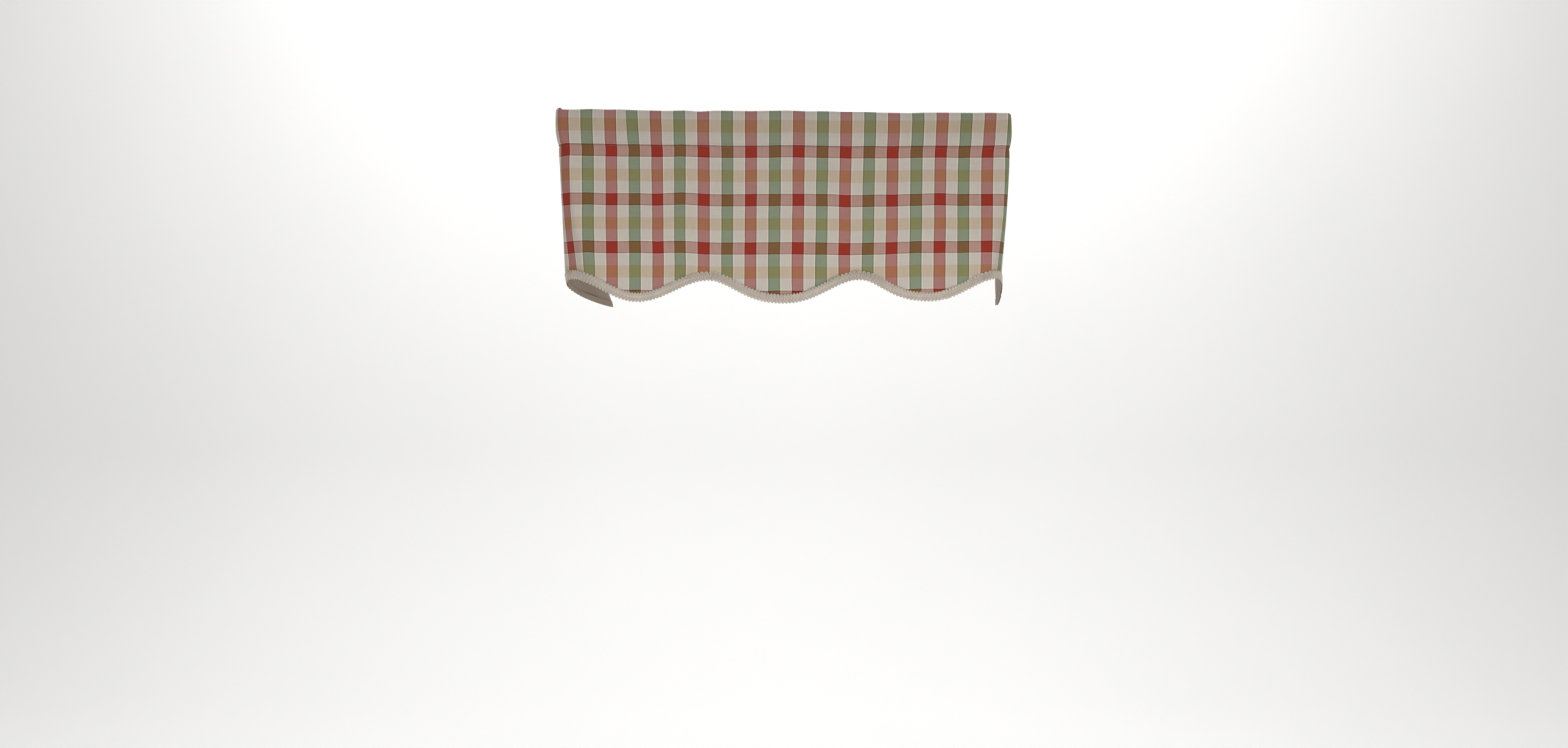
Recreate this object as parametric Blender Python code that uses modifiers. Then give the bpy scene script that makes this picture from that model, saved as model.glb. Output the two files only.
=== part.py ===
"""Window valance of checked cotton, as it hangs on a curtain rod with returns.

The heading is a sleeve for the rod. Below its stitch line hang the scalloped front and the two
side returns, in one piece, with a plain lining behind them and a looped gimp braid along the hem.

Frame: metres, +Z up. The front faces -Y, the returns run back towards +Y, and +X is on the right
of someone facing the window. The origin is the middle of the heading's top edge, over the rod.

A place on the cloth is given by `across`, its distance from the middle line measured along the
cloth (negative on the left), and by `drop`, its distance below the top edge.
"""

import math
from collections import namedtuple

import bmesh
import bpy
import numpy as np

INCH = 0.0254

# Cut sizes
CLOTH_WIDTH = 50 * INCH        # rear edge to rear edge, round both corners
LENGTH = 16 * INCH             # top edge to the foot of the scallops, braid included
POCKET_LENGTH = 0.0758         # top edge to the stitch line
BRAID_WIDTH = 0.0205
BRAID_BELOW_HEM = 0.0025       # how far the braid's loops reach below the cloth

# Thicknesses of the layers and the clearance between them
CLOTH = 0.0012
LINING = 0.0010
BRAID = 0.0020
CLEARANCE = 0.0006

# The rod that the heading is stretched over
ROD_FRONT_WIDTH = 38.4 * INCH  # outside the cloth, corner to corner
POCKET_HALF_DEPTH = 0.0065     # from the pocket's middle plane to each layer of its cloth

# Where the layers lie below the stitch line, outwards from the middle of the cloth's thickness
PANEL_OUT = (CLOTH + CLEARANCE) / 2
LINING_OUT = PANEL_OUT - CLOTH / 2 - CLEARANCE - LINING / 2
BRAID_OUT = PANEL_OUT + CLOTH / 2 + CLEARANCE + BRAID / 2

# The top edge stands higher at the left end than at the right, and the hem is level
TOP_SLOPE = -0.0082

HALF_WIDTH = CLOTH_WIDTH / 2
CORNER = ROD_FRONT_WIDTH / 2   # `across` at the front corners, on the heading

# The hem: the braid's lower edge, from rear edge to rear edge. `lean` is how early the hem gets
# from each turning point to the next one, as a share of the way.
Turn = namedtuple("Turn", "across drop lean")
HEM = [
    Turn(-HALF_WIDTH, 0.412, -0.065),
    Turn(-0.473, 0.359, 0.00),
    Turn(-0.320, 0.409, -0.02),
    Turn(-0.165, 0.3635, 0.105),
    Turn(-0.001, 0.4125, -0.06),
    Turn(0.164, 0.3617, 0.125),
    Turn(0.316, 0.4077, -0.045),
    Turn(0.472, 0.357, 0.09),
    Turn(HALF_WIDTH, 0.407, 0.00),
]

# How the cloth hangs at each drop: the front's place, how much it is drawn in along the front and
# along the returns, and the angle to which its shallow waves swing
Hang = namedtuple("Hang", "drop behind front_draw return_draw wave_degrees")
FRONT = [
    Hang(0.080, 0.0000, 0.987, 0.956, 0.0),
    Hang(0.110, 0.0008, 0.987, 0.965, 0.8),
    Hang(0.213, 0.0010, 0.986, 0.980, 2.0),
    Hang(0.317, 0.0000, 0.986, 0.985, 3.0),
    Hang(0.409, -0.0020, 0.986, 0.985, 4.2),
]

# How the cloth turns at its ends, in two bends that each have a start, a width and an angle. On the
# rod they are one sharp corner. Lower down they part, so that a slanting fold opens between them.
# The left return also curls inwards towards its rear edge and eases out again.
End = namedtuple("End", "drop slant_at slant_over slant square_at square_over square curl")
LEFT = [
    End(0.062, 0.4818, 0.006, 45, 0.4878, 0.006, 45, 0),
    End(0.080, 0.4662, 0.010, 47, 0.4960, 0.010, 43, 0),
    End(0.110, 0.4617, 0.010, 41, 0.4903, 0.014, 49, 4),
    End(0.160, 0.4579, 0.011, 41, 0.4845, 0.019, 49, 12),
    End(0.213, 0.4531, 0.012, 48, 0.4864, 0.024, 42, 20),
    End(0.262, 0.4461, 0.013, 51, 0.4886, 0.030, 39, 34),
    End(0.317, 0.4332, 0.014, 49, 0.4895, 0.035, 41, 53),
    End(0.345, 0.4250, 0.015, 42, 0.4812, 0.034, 48, 60),
    End(0.409, 0.4140, 0.016, 50, 0.4785, 0.034, 40, 74),
]
CURL_AT, CURL_OVER = 0.514, 0.047
EASE_AT, EASE_OVER, EASE_SHARE = 0.580, 0.055, 0.80

RIGHT = [
    End(0.062, 0.4798, 0.0056, 42, 0.4854, 0.0064, 48, 0),
    End(0.080, 0.4790, 0.0084, 42, 0.4874, 0.0096, 48, 0),
    End(0.110, 0.4760, 0.0107, 42, 0.4867, 0.0123, 48, 0),
    End(0.162, 0.4688, 0.0149, 42, 0.4837, 0.0171, 48, 0),
    End(0.213, 0.4593, 0.0205, 42, 0.4798, 0.0235, 48, 0),
    End(0.317, 0.4348, 0.0240, 42, 0.4558, 0.0750, 47, 0),
    End(0.345, 0.4328, 0.0240, 44, 0.4540, 0.0740, 44, 0),
    End(0.409, 0.4290, 0.0260, 45, 0.4500, 0.0880, 43, 0),
]

# The rod pocket's cross-section, from the stitch line up the front, over the rod and down the back
Layer = namedtuple("Layer", "drop behind")
POCKET_FRONT = [
    Layer(POCKET_LENGTH - CLOTH / 2, -0.0009),
    Layer(0.062, -0.0048),
    Layer(0.046, -POCKET_HALF_DEPTH),
    Layer(0.009, -0.0058),
    Layer(0.0022, -0.0032),
]
POCKET_TOP = Layer(CLOTH / 2, 0.0)

# Where the meshes have their columns: runs along `across`, and the steps in each
Run = namedtuple("Run", "start steps")
COLUMN_RUNS = [
    Run(-HALF_WIDTH, 13),
    Run(-0.502, 10),
    Run(-0.474, 5),
    Run(-0.430, 33),
    Run(0.405, 7),
    Run(0.474, 10),
    Run(0.502, 8),
    Run(HALF_WIDTH, 0),
]
PANEL_ROWS = (1.0, 0.82, 0.63, 0.45, 0.28, 0.12, 0.0)  # shares of the way down to the braid

FINE = np.linspace(-HALF_WIDTH, HALF_WIDTH, 1271)      # every millimetre of the cloth


def value(table, column, drop):
    """A column of one of the tables above, at any drop."""
    return float(np.interp(drop, [row.drop for row in table], [getattr(row, column) for row in table]))


def ramp(distance, start, over):
    return np.clip((distance - start) / over, 0, 1)


def turned(end, distance, drop):
    """How far one side has turned from facing the room, in degrees."""
    slant = value(end, "slant", drop) * ramp(
        distance, value(end, "slant_at", drop), value(end, "slant_over", drop))
    square = value(end, "square", drop) * ramp(
        distance, value(end, "square_at", drop), value(end, "square_over", drop))
    curl = ramp(distance, CURL_AT, CURL_OVER) - EASE_SHARE * ramp(distance, EASE_AT, EASE_OVER)
    return slant + square + value(end, "curl", drop) * curl


def waves(drop):
    """The front's shallow waves, as an angle. They die out before the corners."""
    flat = np.cos(np.clip(FINE / 0.44, -1, 1) * math.pi / 2)
    swing = 0.65 * np.sin(FINE / 0.262 * math.tau + 0.6) + 0.35 * np.sin(FINE / 0.149 * math.tau)
    return value(FRONT, "wave_degrees", drop) * swing * flat


def plan(drop, layer=0.0):
    """The cloth's line seen from above at one drop: x, y and its direction at every millimetre.

    `layer` is how far behind the pocket's middle plane this layer of the heading runs. The layers
    run round the rod inside each other, and they all end at the same rear edge.
    """
    distance = np.abs(FINE)
    turn = np.where(FINE < 0, -turned(LEFT, distance, drop), turned(RIGHT, distance, drop))
    angle = np.radians(turn + waves(drop))
    front_draw = value(FRONT, "front_draw", drop) - layer / CORNER
    return_draw = value(FRONT, "return_draw", drop) - layer / (HALF_WIDTH - CORNER)
    draw = np.where(distance < CORNER, front_draw, return_draw)

    def run(rate):
        """The distance gone since the middle line, from the rate of going at every millimetre."""
        steps = (rate[1:] + rate[:-1]) / 2 * np.diff(FINE)
        gone = np.concatenate([[0.0], np.cumsum(steps)])
        return gone - np.interp(0.0, FINE, gone)

    x = run(draw * np.cos(angle))
    y = run(draw * np.sin(angle)) + value(FRONT, "behind", drop) + layer
    return x, y, angle


def cloth_point(across, drop, layer=0.0, out=0.0):
    """A point of the cloth, moved `out` metres towards the outside."""
    x, y, angle = (np.interp(across, FINE, line) for line in plan(drop, layer))
    z = -drop + TOP_SLOPE * across * (1 - (drop / LENGTH) ** 2)
    return (x + out * math.sin(angle), y - out * math.cos(angle), z)


def hem_drop(across):
    """The scalloped hem: smooth waves between the turning points of HEM."""
    for one, other in zip(HEM, HEM[1:]):
        if across <= other.across:
            share = (across - one.across) / (other.across - one.across)
            share += one.lean * math.sin(math.pi * share)
            return one.drop + (other.drop - one.drop) * (1 - math.cos(math.pi * share)) / 2
    return HEM[-1].drop


def braid_top(across):
    """The braid's upper edge, a braid's width above the hem measured square to it."""
    near = 0.002
    slope = (hem_drop(across + near) - hem_drop(across - near)) / (2 * near)
    return hem_drop(across) - BRAID_WIDTH * math.hypot(1, slope)


def columns():
    places = []
    for run, following in zip(COLUMN_RUNS, COLUMN_RUNS[1:]):
        places += list(np.linspace(run.start, following.start, run.steps, endpoint=False))
    return places + [COLUMN_RUNS[-1].start]


def cloth_sheet(name, rows, place, thickness, material):
    """A sheet with a row of points for each entry of rows, each point placed by place(across, row)."""
    across = columns()
    bm = bmesh.new()
    bmesh.ops.create_grid(bm, x_segments=len(across) - 1, y_segments=len(rows) - 1, size=0.5)
    for vert in bm.verts:
        column = round((vert.co.x + 0.5) * (len(across) - 1))
        row = round((vert.co.y + 0.5) * (len(rows) - 1))
        vert.co = place(across[column], rows[row])
    bmesh.ops.remove_doubles(bm, verts=bm.verts, dist=0.00005)
    mesh = bpy.data.meshes.new(name)
    bm.to_mesh(mesh)
    bm.free()
    mesh.shade_smooth()
    mesh.materials.append(material)
    sheet = bpy.data.objects.new(name, mesh)
    collection.objects.link(sheet)
    solidify = sheet.modifiers.new("Thickness", "SOLIDIFY")
    solidify.thickness = thickness
    solidify.offset = 0
    solidify.use_even_offset = True
    return sheet


def cloth_material(name, colour, roughness):
    material = bpy.data.materials.new(name)
    material.use_nodes = True
    shader = material.node_tree.nodes["Principled BSDF"]
    shader.inputs["Base Color"].default_value = (*colour, 1)
    shader.inputs["Roughness"].default_value = roughness
    shader.inputs["Metallic"].default_value = 0
    return material


def make_heading():
    """The rod pocket: one strip of cloth round the rod, sewn to itself along the stitch line."""
    back = [Layer(layer.drop, -layer.behind) for layer in reversed(POCKET_FRONT)]
    ring = POCKET_FRONT + [POCKET_TOP] + back + POCKET_FRONT[:1]
    cloth_sheet(
        "heading",
        ring,
        lambda across, layer: cloth_point(across, layer.drop, layer=layer.behind),
        CLOTH,
        cloth_material("heading_check", (0.47, 0.33, 0.25), 0.85),
    )


def hanging_rows(top_gap):
    """Rows from the hem's edge up to the stitch line, each a function of `across`."""
    start = POCKET_LENGTH + top_gap

    def row(share):
        return lambda across: start + share * (braid_top(across) - start)

    return [lambda across: hem_drop(across) - BRAID_BELOW_HEM] + [row(share) for share in PANEL_ROWS]


def make_panel():
    """The check cloth below the stitch line: front and returns in one, with its scalloped hem."""
    cloth_sheet(
        "panel",
        hanging_rows(CLEARANCE),
        lambda across, row: cloth_point(across, row(across), out=PANEL_OUT),
        CLOTH,
        cloth_material("panel_check", (0.47, 0.33, 0.25), 0.85),
    )


def make_lining():
    """Plain cotton behind the panel, from the stitch line to the hem."""
    cloth_sheet(
        "lining",
        hanging_rows(CLEARANCE),
        lambda across, row: cloth_point(across, row(across), out=LINING_OUT),
        LINING,
        cloth_material("lining_ecru", (0.48, 0.42, 0.34), 0.9),
    )


def make_braid():
    """Looped gimp braid over the hem, outside the panel."""
    cloth_sheet(
        "braid",
        [hem_drop, braid_top],
        lambda across, row: cloth_point(across, row(across), out=BRAID_OUT),
        BRAID,
        cloth_material("gimp_braid", (0.55, 0.46, 0.38), 0.8),
    )


for old in list(bpy.data.objects):
    bpy.data.objects.remove(old, do_unlink=True)
collection = bpy.data.collections.new("window_valance")
bpy.context.scene.collection.children.link(collection)

make_heading()
make_panel()
make_lining()
make_braid()
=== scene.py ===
"""Window valance of checked cotton, as it hangs on a curtain rod with returns.

A rod pocket runs along the top. Below it hangs a scalloped panel with side returns, with a plain
lining behind it and a looped gimp braid along the hem.

Metres, +Z up. The front faces -Y, the returns run back towards +Y, and the origin is the middle of
the top edge. A place on the cloth is given by `across`, its distance from the middle line along
the cloth (negative on the left), and by `drop`, its distance below the top edge.
"""

import math

import bmesh
import bpy
import numpy as np
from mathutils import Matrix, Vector


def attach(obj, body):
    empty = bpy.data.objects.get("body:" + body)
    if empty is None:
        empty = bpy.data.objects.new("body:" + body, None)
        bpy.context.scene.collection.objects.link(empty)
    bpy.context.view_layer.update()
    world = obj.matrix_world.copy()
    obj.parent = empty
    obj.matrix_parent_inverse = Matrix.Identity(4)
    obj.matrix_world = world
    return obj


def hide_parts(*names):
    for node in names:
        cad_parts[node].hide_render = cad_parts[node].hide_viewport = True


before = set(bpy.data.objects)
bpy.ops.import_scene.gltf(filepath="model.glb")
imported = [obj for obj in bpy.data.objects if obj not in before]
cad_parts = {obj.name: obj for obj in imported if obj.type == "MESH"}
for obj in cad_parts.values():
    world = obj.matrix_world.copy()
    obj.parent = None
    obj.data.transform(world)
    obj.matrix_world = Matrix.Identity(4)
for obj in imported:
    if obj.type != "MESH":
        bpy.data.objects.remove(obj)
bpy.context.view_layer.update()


# ------------------------------------- Heading
# The rod pocket: the top of the check cloth, turned over to the back and sewn down along the seam.
# It is stretched over a flat rod with returns, so it is smooth on the front and sharp at the
# corners, and its two ends are hemmed.

INCH = 0.0254
HALF_WIDTH = 25 * INCH    # middle line to rear edge, round a corner
LENGTH = 16 * INCH        # top edge to the foot of the scallops
CORNER = 19.2 * INCH      # `across` at the front corners of the heading
SEAM = 0.0758             # drop of the seam that closes the pocket
SIDE_HEM = 0.011          # width of the hems at the rear edges
CLOTH = 0.0010            # thickness of the check cloth
TOP_SLOPE = -0.0082       # the top edge stands higher on the left


def by_column(names, *rows):
    """A table's rows as named columns."""
    return dict(zip(names.split(), zip(*rows)))


# How the cloth hangs at each drop: the front's place, how much it is drawn in along the front and
# along the returns, and the angle to which its shallow waves swing
FRONT = by_column(
    "drop behind front_draw return_draw wave_degrees",
    (0.080, 0.0000, 0.987, 0.956, 0.0),
    (0.110, 0.0008, 0.987, 0.965, 0.8),
    (0.213, 0.0010, 0.986, 0.980, 2.0),
    (0.317, 0.0000, 0.986, 0.985, 3.0),
    (0.409, -0.0020, 0.986, 0.985, 4.2))

# How the cloth turns at its ends, in two bends that each have a start, a width and an angle. On the
# rod they are one sharp corner. Lower down they part, so that a slanting fold opens between them.
# The left return also curls inwards towards its rear edge and eases out again.
END = "drop slant_at slant_over slant square_at square_over square curl"
LEFT = by_column(
    END,
    (0.030, 0.4770, 0.006, 46, 0.4915, 0.006, 44, 0),
    (0.062, 0.4726, 0.006, 53, 0.4953, 0.006, 37, 0),
    (0.080, 0.4662, 0.010, 47, 0.4960, 0.010, 43, 0),
    (0.110, 0.4617, 0.010, 41, 0.4903, 0.014, 49, 4),
    (0.160, 0.4579, 0.011, 41, 0.4845, 0.019, 49, 12),
    (0.213, 0.4531, 0.012, 48, 0.4864, 0.024, 42, 20),
    (0.262, 0.4461, 0.013, 51, 0.4886, 0.030, 39, 34),
    (0.317, 0.4332, 0.014, 49, 0.4895, 0.035, 41, 53),
    (0.345, 0.4250, 0.015, 42, 0.4812, 0.034, 48, 60),
    (0.409, 0.4140, 0.016, 50, 0.4785, 0.034, 40, 74))
CURL_AT, CURL_OVER = 0.514, 0.047
EASE_AT, EASE_OVER, EASE_SHARE = 0.580, 0.055, 0.80

RIGHT = by_column(
    END,
    (0.062, 0.4798, 0.0056, 42, 0.4854, 0.0064, 48, 0),
    (0.080, 0.4790, 0.0084, 42, 0.4874, 0.0096, 48, 0),
    (0.110, 0.4760, 0.0107, 42, 0.4867, 0.0123, 48, 0),
    (0.162, 0.4688, 0.0149, 42, 0.4837, 0.0171, 48, 0),
    (0.213, 0.4593, 0.0205, 42, 0.4798, 0.0235, 48, 0),
    (0.317, 0.4348, 0.0240, 42, 0.4558, 0.0750, 47, 0),
    (0.345, 0.4328, 0.0240, 44, 0.4540, 0.0740, 44, 0),
    (0.409, 0.4290, 0.0260, 45, 0.4500, 0.0880, 43, 0))

# The lines on which the hang is worked out
FINE = np.linspace(-HALF_WIDTH, HALF_WIDTH, 1271)
DROPS = np.linspace(0, 0.43, 216)
SOFTEN = 4                # the lines are eased into each other over about this many
WAVES_END = 0.44          # `across` where the front's waves have died out
LONG_WAVE, SHORT_WAVE = 0.262, 0.149


def value(table, column, drop):
    """A column of one of the tables above, at any drop."""
    return np.interp(drop, table["drop"], table[column])


def ramp(distance, start, over):
    return np.clip((distance - start) / over, 0, 1)


def turned(end, distance, drop):
    """How far one side has turned from facing the room, in degrees."""
    bends = sum(
        value(end, bend, drop)
        * ramp(distance, value(end, bend + "_at", drop), value(end, bend + "_over", drop))
        for bend in ("slant", "square"))
    curl = ramp(distance, CURL_AT, CURL_OVER) - EASE_SHARE * ramp(distance, EASE_AT, EASE_OVER)
    return bends + value(end, "curl", drop) * curl


def waves(drop):
    """The front's shallow waves, as an angle. They die out before the corners."""
    flat = np.cos(np.clip(FINE / WAVES_END, -1, 1) * math.pi / 2)
    swing = 0.65 * np.sin(FINE / LONG_WAVE * math.tau + 0.6)
    swing = swing + 0.35 * np.sin(FINE / SHORT_WAVE * math.tau)
    return value(FRONT, "wave_degrees", drop) * swing * flat


def summed(steps):
    """The distance gone before each step and after the last one."""
    return np.concatenate([[0.0], np.cumsum(steps)])


def gone(rate):
    """The distance gone since the middle line, from the rate of going at each place of FINE."""
    total = summed((rate[1:] + rate[:-1]) / 2 * np.diff(FINE))
    return total - np.interp(0.0, FINE, total)


def hang_line(drop):
    """The cloth seen from above at one drop: its x, y and direction, and how much less x and y
    grow for a layer that runs one metre further back round the rod."""
    distance = np.abs(FINE)
    on_front = distance < CORNER
    turn = np.where(FINE < 0, -turned(LEFT, distance, drop), turned(RIGHT, distance, drop))
    angle = np.radians(turn + waves(drop))
    draw = np.where(on_front, value(FRONT, "front_draw", drop), value(FRONT, "return_draw", drop))
    less = 1 / np.where(on_front, CORNER, HALF_WIDTH - CORNER)
    return (
        gone(draw * np.cos(angle)),
        gone(draw * np.sin(angle)) + value(FRONT, "behind", drop),
        angle,
        gone(less * np.cos(angle)),
        gone(less * np.sin(angle)),
    )


def softened(lines):
    """The lines eased into each other down the cloth, so that the rows of the tables don't show."""
    reach = 3 * SOFTEN
    weights = np.exp(-(np.arange(-reach, reach + 1) / SOFTEN) ** 2 / 2)
    padded = np.pad(lines, ((reach, reach), (0, 0), (0, 0)), mode="edge")
    count = len(lines)
    return sum(w * padded[i:i + count] for i, w in enumerate(weights)) / weights.sum()


HANG = np.moveaxis(softened(np.array([hang_line(drop) for drop in DROPS])), 1, 0)


def between(table, row, column, ease=lambda share: share):
    """What a table says at places between its rows and columns."""
    i, j = row.astype(int), column.astype(int)
    s, t = ease(row - i), ease(column - j)
    upper = table[i, j] * (1 - t) + table[i, j + 1] * t
    lower = table[i + 1, j] * (1 - t) + table[i + 1, j + 1] * t
    return upper * (1 - s) + lower * s


def hang(across, drop):
    """x, y, direction and the two layer rates of HANG at any places on the cloth."""
    row = np.clip(drop / (DROPS[1] - DROPS[0]), 0, len(DROPS) - 1.001)
    column = np.clip((across - FINE[0]) / (FINE[1] - FINE[0]), 0, len(FINE) - 1.001)
    return [between(table, row, column) for table in HANG]


def on_cloth(across, drop, behind=0.0, out=0.0):
    """Places on the cloth. `behind` is for the pocket's layers, and `out` moves them outwards."""
    x, y, angle, less_x, less_y = hang(across, drop)
    z = -drop + TOP_SLOPE * across * (1 - (drop / LENGTH) ** 2)
    line = np.stack([x - behind * less_x, y - behind * less_y + behind, z], -1)
    outward = np.stack([np.sin(angle), -np.cos(angle), np.zeros_like(angle)], -1)
    return line + np.asarray(out)[..., None] * outward


def uneven(across, drop, size, seed):
    """Smooth random hills from -1 to 1, about size = (along, down) metres wide."""
    row, column = drop / size[1] + 1, (across + HALF_WIDTH) / size[0] + 1
    hills = np.random.default_rng(seed).uniform(-1, 1, (int(row.max()) + 3, int(column.max()) + 3))
    return between(hills, row, column, lambda share: share * share * (3 - 2 * share))


def bump(distance, width):
    return np.exp(-(distance / width) ** 2)


# Soft creases that are pressed into the cloth: where each starts across, the drops of its top and
# its foot, how far it leans to the right on its way down, its width, and how far it stands out
CREASES = [
    (-0.352, 0.000, 0.074, 0.006, 0.0030, 0.0011),
    (-0.345, 0.004, 0.070, 0.006, 0.0034, -0.0009),
    (-0.474, 0.020, 0.082, 0.010, 0.0050, -0.0008),
    (0.102, 0.006, 0.078, -0.002, 0.0080, -0.0007),
    (0.178, 0.004, 0.080, 0.003, 0.0090, -0.0008),
    (0.232, 0.090, 0.330, 0.004, 0.0160, 0.0010),
    (0.366, 0.084, 0.300, -0.006, 0.0140, -0.0009),
    (-0.268, 0.084, 0.240, 0.004, 0.0120, 0.0008),
    (-0.084, 0.090, 0.380, -0.006, 0.0180, -0.0008),
    (0.455, 0.010, 0.082, 0.004, 0.0060, -0.0008),
]
GROOVE, GROOVE_HALF = 0.0006, 0.0016  # depth and half width of the seam's groove
PUCKER, PUCKER_REACH = 0.00022, 0.012  # the puckers along it
RIPPLE = 0.0011           # the soft ripples of the free cloth
UNEVEN = 0.0003           # its small unevenness
HEM_STANDS = 0.0004       # the side hems' doubled cloth


def relief(across, drop):
    """How far the cloth stands out from its even hang: the seam's groove and puckers, the creases,
    soft ripples, and the doubled cloth of the side hems."""
    from_seam = drop - SEAM
    out = -GROOVE * bump(from_seam, GROOVE_HALF)
    pucker = uneven(across, drop, (0.006, 0.200), 3) + uneven(across, drop, (0.013, 0.200), 4)
    out += PUCKER * pucker * np.exp(-np.abs(from_seam) / PUCKER_REACH)
    for start, top, foot, lean, width, rise in CREASES:
        share = np.clip((drop - top) / (foot - top), 0, 1)
        ends = np.sin(math.pi * np.clip(share, 0.02, 0.98)) ** 0.6
        inside = (drop >= top) & (drop <= foot)
        out += np.where(inside, rise * ends * bump(across - (start + lean * share), width), 0)
    free = ramp(drop, SEAM, 0.10)
    out += RIPPLE * free * uneven(across, drop, (0.060, 0.160), 5)
    out += UNEVEN * uneven(across, drop, (0.022, 0.040), 6)
    out += HEM_STANDS * ramp(np.abs(across), HALF_WIDTH - SIDE_HEM - 0.0012, 0.0012)
    return out


# The check. Warp stripes run down the cloth, and weft bands run along it.
WARP_REPEAT = 4 * INCH    # red, cream, green, cream
WEFT_REPEAT = 0.1036      # red, cream, tan, cream
RED_STRIPE_AT = 0.0310    # `across` of the middle of a red stripe
RED_BAND_AT = 0.0866      # drop of the middle of a red band
HEADING_STRETCH = 0.957   # the heading takes this much of the flat cloth for its height
HEADING_SPREAD = 0.0047   # and its stripes this much wider
HEADING_ENDS, ENDS_OVER = 0.066, 0.020  # drop where that ends
TUCK_AT, TUCK = -0.3480, 0.0045  # a tuck of cloth that the heading takes up at its top edge

# The weave is pulled a little out of true. At each place across, in millimetres: how far the
# stripes lie further right at each of the drops of RIGHT_AT, and how far the bands lie lower at
# each of the drops of LOWER_AT.
RIGHT_AT = (0.011, 0.060, 0.105, 0.217, 0.303, 0.345)
LOWER_AT = (0.020, 0.180, 0.300)
PULLED_AT, RIGHT_BY, LOWER_BY = zip(
    (-0.464, (-1.0, 0.7, -1.5, -1.8, 0.8, 5.0), (-2.0, -0.8, -3.4)),
    (-0.426, (0.2, 0.9, 0.1, 0.0, 0.8, 2.6), (-2.0, -0.8, -3.2)),
    (-0.375, (0.6, 1.6, 0.7, 0.8, 1.3, 1.5), (-2.0, 0.4, -1.7)),
    (-0.325, (-1.9, -0.4, -0.4, -0.6, 0.3, 0.6), (-1.5, -0.1, -2.7)),
    (-0.274, (-4.2, -2.9, -1.5, -0.6, 0.2, 0.5), (-0.5, 0.7, -1.5)),
    (-0.223, (-3.4, -2.4, -3.4, -4.8, -4.3, -3.8), (-0.5, -2.5, -3.7)),
    (-0.172, (-2.4, -2.0, -2.0, -2.3, -2.3, -2.3), (-0.6, 0.0, 0.0)),
    (-0.121, (-1.5, -1.2, -1.4, -2.0, -2.5, -2.6), (0.2, 1.4, -0.1)),
    (-0.071, (-0.9, -0.5, -1.0, -1.5, -2.3, -2.5), (-0.5, -0.2, 0.5)),
    (-0.020, (0.8, 0.5, 0.6, -0.8, -1.6, -1.8), (-0.9, -0.5, -0.8)),
    (0.031, (1.7, 1.0, 0.7, -0.3, -1.3, -1.6), (-1.8, -1.3, -0.5)),
    (0.082, (2.3, 2.5, 1.5, 0.4, -0.7, -1.1), (-0.6, -1.4, -0.5)),
    (0.133, (2.0, 1.5, 0.7, -0.4, -1.2, -1.4), (-0.6, 0.8, 0.9)),
    (0.183, (2.7, 1.7, 1.8, 0.2, -1.0, -1.4), (-2.4, 0.1, -0.4)),
    (0.234, (3.3, 1.9, 1.5, 0.5, -0.4, -0.7), (-1.5, -0.6, -2.0)),
    (0.285, (4.8, 3.4, 2.3, 1.9, 0.8, 0.4), (-2.6, -2.7, -4.6)),
    (0.336, (6.4, 4.8, 4.3, 3.8, 2.5, 2.1), (-2.9, -4.7, -4.8)),
    (0.387, (7.8, 5.2, 4.5, 3.4, 3.7, 3.8), (-3.5, -3.1, -5.5)),
    (0.437, (8.9, 5.6, 4.0, 4.3, 3.9, 2.6), (-4.4, -4.0, -6.7)),
    (0.480, (8.2, 5.4, 4.4, 4.3, 0.5, -1.0), (-4.4, -4.0, -6.7)))


def pulled(across, drop, amounts, drops):
    """RIGHT_BY or LOWER_BY, in metres, at any places on the cloth."""
    lines = [np.interp(across, PULLED_AT, amount) for amount in zip(*amounts)]
    level = np.interp(drop, drops, range(len(drops)))
    return 0.001 * sum(line * np.clip(1 - np.abs(level - i), 0, 1) for i, line in enumerate(lines))


def flat_across(across, drop, behind=0.0):
    """Where a place lies along the flat cloth. Round the rod the stripes stay upright."""
    on_heading = 1 - ramp(drop, HEADING_ENDS, ENDS_OVER)
    shift = -behind * np.clip(across / CORNER, -1, 1)
    across = across + shift * np.clip((HALF_WIDTH - np.abs(across)) / (HALF_WIDTH - CORNER), 0, 1)
    tucked = np.tanh((across - TUCK_AT) / 0.004) + np.tanh((TUCK_AT + 0.05 - across) / 0.03) - 1
    tuck = TUCK * np.clip(tucked, 0, 1) * (1 - ramp(drop, 0.0, 0.080))
    right = pulled(across, drop, RIGHT_BY, RIGHT_AT)
    return across * (1 - HEADING_SPREAD * on_heading) + tuck - right


def columns(runs):
    """Places along the cloth, from runs of (start, spacing) that end with the last place."""
    places = []
    for (start, spacing), (end, _) in zip(runs, runs[1:]):
        places += list(np.linspace(start, end, round((end - start) / spacing), endpoint=False))
    return np.array(places + [runs[-1][0]])


def smooth_line(points, steps):
    """A smooth line through points, with a number of steps between each two of them."""
    p = np.array(points)
    p = np.vstack([2 * p[0] - p[1], p, 2 * p[-1] - p[-2]])
    t = (np.arange(steps) / steps)[:, None]
    line = [
        b + t * (c - a) / 2 + t ** 2 * (a - 2.5 * b + 2 * c - d / 2)
        + t ** 3 * (1.5 * (b - c) + (d - a) / 2)
        for a, b, c, d in zip(p, p[1:], p[2:], p[3:])]
    return np.vstack(line + [p[-2:-1]])


def make_plain(piece):
    """Swaps a piece's modifiers for the plain mesh that they make."""
    graph = bpy.context.evaluated_depsgraph_get()
    piece.data = bpy.data.meshes.new_from_object(
        piece.evaluated_get(graph), preserve_all_data_layers=True, depsgraph=graph)
    piece.modifiers.clear()


def placed(name, data):
    """A new object in the scene."""
    piece = bpy.data.objects.new(name, data)
    bpy.context.scene.collection.objects.link(piece)
    return piece


def mesh_of(name, bm):
    mesh = bpy.data.meshes.new(name)
    bm.to_mesh(mesh)
    bm.free()
    return mesh


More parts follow.
